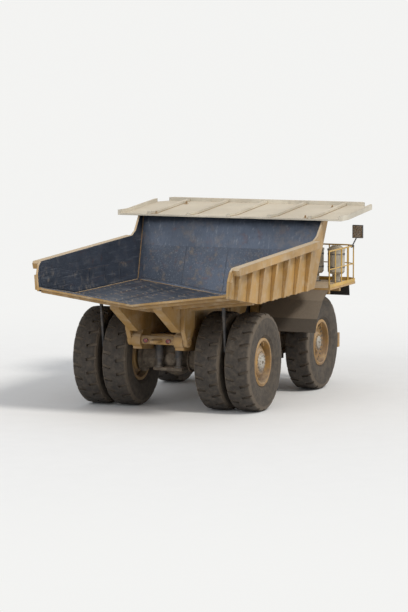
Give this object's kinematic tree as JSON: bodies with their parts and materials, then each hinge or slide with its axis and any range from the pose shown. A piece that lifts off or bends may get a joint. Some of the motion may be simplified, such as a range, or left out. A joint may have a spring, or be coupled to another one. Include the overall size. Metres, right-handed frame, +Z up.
{
  "type": "mining dump truck",
  "caption": "Rigid-frame mining dump truck with a tipping rock bed, cab canopy, telescopic hoists, steered front wheels and twin rear tyres.",
  "frame": {"origin": "on the ground, under the middle of the truck's overall length and width", "axes": "+X forward, +Y to the left, +Z up"},
  "size_m": [10.3, 6.88, 5.3],
  "materials": {
    "chassis_paint": "ochre paint, dusty, satin",
    "bed_paint": "ochre paint outside, worn bare blue-grey steel inside, dusty",
    "canopy_paint": "pale dusty ochre paint",
    "cab_paint": "dusty ochre paint",
    "dark_metal": "dark paint with dust and oil",
    "axle_metal": "dusty cast housing",
    "rod_chrome": "polished rod",
    "tyre": "dusty black rubber",
    "rim": "dusty ochre paint",
    "rail_paint": "yellow handrail paint, chipped",
    "glass": "dusty cab glass",
    "lamp_lens": "clear lamp lens",
    "lamp_red": "red lamp lens",
    "seat_cloth": "worn woven seat cover",
    "console_plastic": "grained moulding",
    "mirror_shell": "dusty black moulding"
  },
  "bodies": {
    "chassis": {"frame_rails": "chassis_paint", "frame_crossmembers": "chassis_paint", "bumper": "chassis_paint", "radiator_shell": "chassis_paint", "grille": "dark_metal", "powertrain": "dark_metal", "deck": "chassis_paint", "mud_guards": "dark_metal", "handrails": "rail_paint", "ladders": "rail_paint", "headlamps": "lamp_lens", "tail_lamps": "lamp_red", "tanks": "chassis_paint", "air_cleaners": "canopy_paint", "mirrors": "mirror_shell", "cab_walls": "cab_paint", "cab_roof": "cab_paint", "cab_glass": "glass", "cab_seat": "seat_cloth", "cab_console": "console_plastic", "struts": "dark_metal", "rear_axle": "axle_metal"},
    "bed": {"bed_floor": "bed_paint", "bed_sides": "bed_paint", "bed_front": "bed_paint", "bed_canopy": "canopy_paint", "rock_ejectors": "dark_metal"},
    "cab_door": {"cab_door": "cab_paint", "door_glass": "glass"},
    "tie_rod": {"tie_rod": "dark_metal"},
    "knuckle_left": {"knuckle_left": "axle_metal"},
    "wheel_front_left": {"front_tyre_left": "tyre", "front_rim_left": "rim"},
    "wheels_rear_left": {"rear_tyres_left": "tyre", "rear_rims_left": "rim"},
    "hoist_barrel_left": {"hoist_barrel_left": "dark_metal"},
    "hoist_stage_left": {"hoist_stage_left": "rod_chrome"},
    "hoist_rod_left": {"hoist_rod_left": "rod_chrome"},
    "knuckle_right": {"knuckle_right": "axle_metal"},
    "wheel_front_right": {"front_tyre_right": "tyre", "front_rim_right": "rim"},
    "wheels_rear_right": {"rear_tyres_right": "tyre", "rear_rims_right": "rim"},
    "hoist_barrel_right": {"hoist_barrel_right": "dark_metal"},
    "hoist_stage_right": {"hoist_stage_right": "rod_chrome"},
    "hoist_rod_right": {"hoist_rod_right": "rod_chrome"}
  },
  "joints": [
    {"name": "bed_tilt", "type": "hinge", "parent": "chassis", "child": "bed", "pos_m": [-3.24, 0, 1.98], "axis": [0, -1, 0], "range_deg": [0, 46]},
    {"name": "steer_left", "type": "hinge", "parent": "chassis", "child": "knuckle_left", "pos_m": [3, 1.4, 1.35], "axis": [0, 0, 1], "range_deg": [-35, 35]},
    {"name": "steer_right", "type": "hinge", "parent": "chassis", "child": "knuckle_right", "pos_m": [3, -1.4, 1.35], "axis": [0, 0, 1], "range_deg": [-35, 35]},
    {"name": "tie_rod_pin", "type": "hinge", "parent": "knuckle_left", "child": "tie_rod", "pos_m": [2.48, 1.4, 1.09], "axis": [0, 0, 1], "range_deg": [-35, 35]},
    {"name": "door_swing", "type": "hinge", "parent": "chassis", "child": "cab_door", "pos_m": [3.88, 2.074, 3.8], "axis": [0, 0, -1], "range_deg": [0, 75]},
    {"name": "wheel_front_left_roll", "type": "hinge", "parent": "knuckle_left", "child": "wheel_front_left", "pos_m": [3, 2.15, 1.35], "axis": [0, 1, 0], "continuous": true},
    {"name": "wheels_rear_left_roll", "type": "hinge", "parent": "chassis", "child": "wheels_rear_left", "pos_m": [-1.95, 1.8, 1.35], "axis": [0, 1, 0], "continuous": true},
    {"name": "hoist_left_swing", "type": "hinge", "parent": "chassis", "child": "hoist_barrel_left", "pos_m": [-0.9, 0.867, 1.15], "axis": [0, -1, 0], "range_deg": [0, 36.32]},
    {"name": "hoist_left_stage_slide", "type": "slide", "parent": "hoist_barrel_left", "child": "hoist_stage_left", "axis": [0.4383, 0, 0.8988], "range_m": [0, 0.954]},
    {"name": "hoist_left_rod_slide", "type": "slide", "parent": "hoist_stage_left", "child": "hoist_rod_left", "axis": [0.4383, 0, 0.8988], "range_m": [0, 0.954]},
    {"name": "wheel_front_right_roll", "type": "hinge", "parent": "knuckle_right", "child": "wheel_front_right", "pos_m": [3, -2.15, 1.35], "axis": [0, 1, 0], "continuous": true},
    {"name": "wheels_rear_right_roll", "type": "hinge", "parent": "chassis", "child": "wheels_rear_right", "pos_m": [-1.95, -1.8, 1.35], "axis": [0, 1, 0], "continuous": true},
    {"name": "hoist_right_swing", "type": "hinge", "parent": "chassis", "child": "hoist_barrel_right", "pos_m": [-0.9, -0.867, 1.15], "axis": [0, -1, 0], "range_deg": [0, 36.32]},
    {"name": "hoist_right_stage_slide", "type": "slide", "parent": "hoist_barrel_right", "child": "hoist_stage_right", "axis": [0.4383, 0, 0.8988], "range_m": [0, 0.954]},
    {"name": "hoist_right_rod_slide", "type": "slide", "parent": "hoist_stage_right", "child": "hoist_rod_right", "axis": [0.4383, 0, 0.8988], "range_m": [0, 0.954]}
  ],
  "couplings": [
    {"joint": "steer_right", "follows": "steer_left", "ratio": 1},
    {"joint": "tie_rod_pin", "follows": "steer_left", "ratio": -1},
    {"joint": "hoist_left_swing", "follows": "bed_tilt", "ratio": 0.78907},
    {"joint": "hoist_left_stage_slide", "follows": "bed_tilt", "m_per_rad": 1.1876},
    {"joint": "hoist_left_rod_slide", "follows": "bed_tilt", "m_per_rad": 1.1876},
    {"joint": "hoist_right_swing", "follows": "bed_tilt", "ratio": 0.78907},
    {"joint": "hoist_right_stage_slide", "follows": "bed_tilt", "m_per_rad": 1.1876},
    {"joint": "hoist_right_rod_slide", "follows": "bed_tilt", "m_per_rad": 1.1876}
  ]
}
